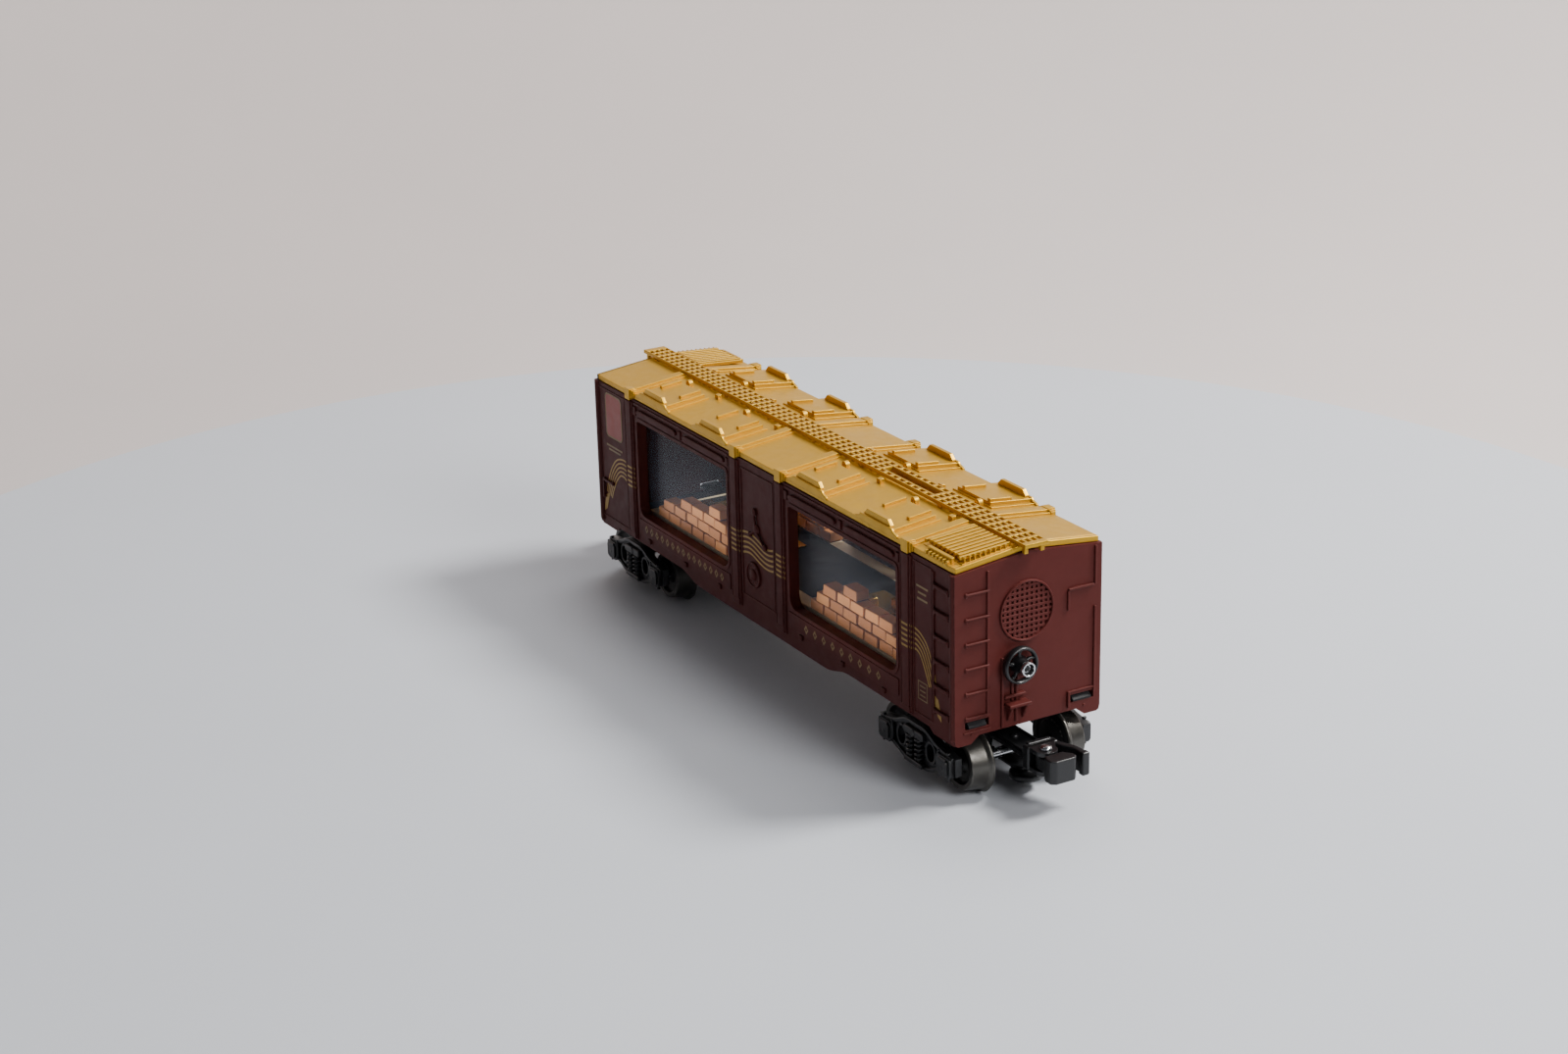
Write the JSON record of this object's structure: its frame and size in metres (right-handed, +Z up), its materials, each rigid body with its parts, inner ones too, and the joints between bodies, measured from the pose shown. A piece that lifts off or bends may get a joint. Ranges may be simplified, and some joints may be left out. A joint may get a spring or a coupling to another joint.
{
  "type": "model railway box car",
  "caption": "Toy railway bank box car with large windows, bullion load, coin slot in the roofwalk, and two swivelling trucks with knuckle couplers.",
  "frame": {"origin": "middle of the car on the plane that the wheel flanges stand on", "axes": "+X towards the brake-wheel end, +Y to the left when facing +X, +Z up"},
  "size_m": [0.2782, 0.054, 0.0806],
  "materials": {
    "body_maroon": "satin moulded plastic, dark red-brown",
    "roof_gold": "satin gold paint on plastic",
    "window_clear": "clear moulded window sheet",
    "tray_cream": "satin",
    "bar_tan": "matt tan-orange bars with darker joints",
    "bar_gold": "bright vacuum-plated gold",
    "floor_black": "satin black",
    "truck_black": "blackened die-casting, semi-gloss",
    "wheel_steel": "dark metal, bright worn tread",
    "bright_steel": "bright plated"
  },
  "bodies": {
    "car": {"body_shell": "body_maroon", "side_tab_near_left": "body_maroon", "side_tab_near_right": "body_maroon", "side_tab_far_left": "body_maroon", "side_tab_far_right": "body_maroon", "end_tab_near_left": "body_maroon", "end_tab_near_right": "body_maroon", "end_tab_far_left": "body_maroon", "end_tab_far_right": "body_maroon", "roof": "roof_gold", "roofwalk": "roof_gold", "window_pane_near_left": "window_clear", "window_pane_near_right": "window_clear", "window_pane_far_left": "window_clear", "window_pane_far_right": "window_clear", "floor_pan": "floor_black", "display_tray": "tray_cream", "tray_screw_left": "bright_steel", "tray_screw_right": "bright_steel", "bullion_heap_near_left": "bar_tan", "bullion_heap_near_right": "bar_tan", "bullion_heap_far_left": "bar_tan", "bullion_heap_far_right": "bar_tan", "gold_bars_left": "bar_gold", "gold_bars_right": "bar_gold", "brake_wheel_rivet": "bright_steel", "brake_end_truck_kingpin": "bright_steel", "plain_end_truck_kingpin": "bright_steel"},
    "brake_wheel": {"brake_wheel": "truck_black"},
    "brake_end_truck": {"brake_end_truck_bolster": "truck_black", "brake_end_truck_side_frame_right": "truck_black", "brake_end_truck_side_frame_left": "truck_black", "brake_end_truck_drawbar": "truck_black", "brake_end_truck_coupler_head": "truck_black", "brake_end_truck_knuckle_pin": "bright_steel", "brake_end_truck_flap_pin": "bright_steel"},
    "brake_end_truck_knuckle": {"brake_end_truck_knuckle": "truck_black"},
    "brake_end_truck_uncoupling_flap": {"brake_end_truck_uncoupling_flap": "truck_black"},
    "brake_end_truck_outer_wheelset": {"brake_end_truck_outer_axle": "bright_steel", "brake_end_truck_outer_wheel_left": "wheel_steel", "brake_end_truck_outer_wheel_right": "wheel_steel"},
    "brake_end_truck_inner_wheelset": {"brake_end_truck_inner_axle": "bright_steel", "brake_end_truck_inner_wheel_left": "wheel_steel", "brake_end_truck_inner_wheel_right": "wheel_steel"},
    "plain_end_truck": {"plain_end_truck_bolster": "truck_black", "plain_end_truck_side_frame_right": "truck_black", "plain_end_truck_side_frame_left": "truck_black", "plain_end_truck_drawbar": "truck_black", "plain_end_truck_coupler_head": "truck_black", "plain_end_truck_knuckle_pin": "bright_steel", "plain_end_truck_flap_pin": "bright_steel"},
    "plain_end_truck_knuckle": {"plain_end_truck_knuckle": "truck_black"},
    "plain_end_truck_uncoupling_flap": {"plain_end_truck_uncoupling_flap": "truck_black"},
    "plain_end_truck_outer_wheelset": {"plain_end_truck_outer_axle": "bright_steel", "plain_end_truck_outer_wheel_left": "wheel_steel", "plain_end_truck_outer_wheel_right": "wheel_steel"},
    "plain_end_truck_inner_wheelset": {"plain_end_truck_inner_axle": "bright_steel", "plain_end_truck_inner_wheel_left": "wheel_steel", "plain_end_truck_inner_wheel_right": "wheel_steel"}
  },
  "joints": [
    {"name": "brake_wheel_turn", "type": "hinge", "parent": "car", "child": "brake_wheel", "pos_m": [0.1194, -0.0046, 0.0423], "axis": [1, 0, 0], "continuous": true},
    {"name": "brake_end_truck_swivel", "type": "hinge", "parent": "car", "child": "brake_end_truck", "pos_m": [0.0945, 0, 0.02], "axis": [0, 0, 1], "range_deg": [-25, 25]},
    {"name": "brake_end_truck_knuckle_swing", "type": "hinge", "parent": "brake_end_truck", "child": "brake_end_truck_knuckle", "pos_m": [0.1295, -0.0014, 0.0138], "axis": [0, 0, -1], "range_deg": [0, 38]},
    {"name": "brake_end_truck_flap_drop", "type": "hinge", "parent": "brake_end_truck", "child": "brake_end_truck_uncoupling_flap", "pos_m": [0.1031, 0, 0.007], "axis": [0, 1, 0], "range_deg": [0, 5]},
    {"name": "brake_end_truck_outer_wheelset_roll", "type": "hinge", "parent": "brake_end_truck", "child": "brake_end_truck_outer_wheelset", "pos_m": [0.111, 0, 0.0102], "axis": [0, 1, 0], "continuous": true},
    {"name": "brake_end_truck_inner_wheelset_roll", "type": "hinge", "parent": "brake_end_truck", "child": "brake_end_truck_inner_wheelset", "pos_m": [0.078, 0, 0.0102], "axis": [0, 1, 0], "continuous": true},
    {"name": "plain_end_truck_swivel", "type": "hinge", "parent": "car", "child": "plain_end_truck", "pos_m": [-0.0945, 0, 0.02], "axis": [0, 0, 1], "range_deg": [-25, 25]},
    {"name": "plain_end_truck_knuckle_swing", "type": "hinge", "parent": "plain_end_truck", "child": "plain_end_truck_knuckle", "pos_m": [-0.1295, 0.0014, 0.0138], "axis": [0, 0, -1], "range_deg": [0, 38]},
    {"name": "plain_end_truck_flap_drop", "type": "hinge", "parent": "plain_end_truck", "child": "plain_end_truck_uncoupling_flap", "pos_m": [-0.1031, 0, 0.007], "axis": [0, -1, 0], "range_deg": [0, 5]},
    {"name": "plain_end_truck_outer_wheelset_roll", "type": "hinge", "parent": "plain_end_truck", "child": "plain_end_truck_outer_wheelset", "pos_m": [-0.111, 0, 0.0102], "axis": [0, 1, 0], "continuous": true},
    {"name": "plain_end_truck_inner_wheelset_roll", "type": "hinge", "parent": "plain_end_truck", "child": "plain_end_truck_inner_wheelset", "pos_m": [-0.078, 0, 0.0102], "axis": [0, 1, 0], "continuous": true}
  ]
}
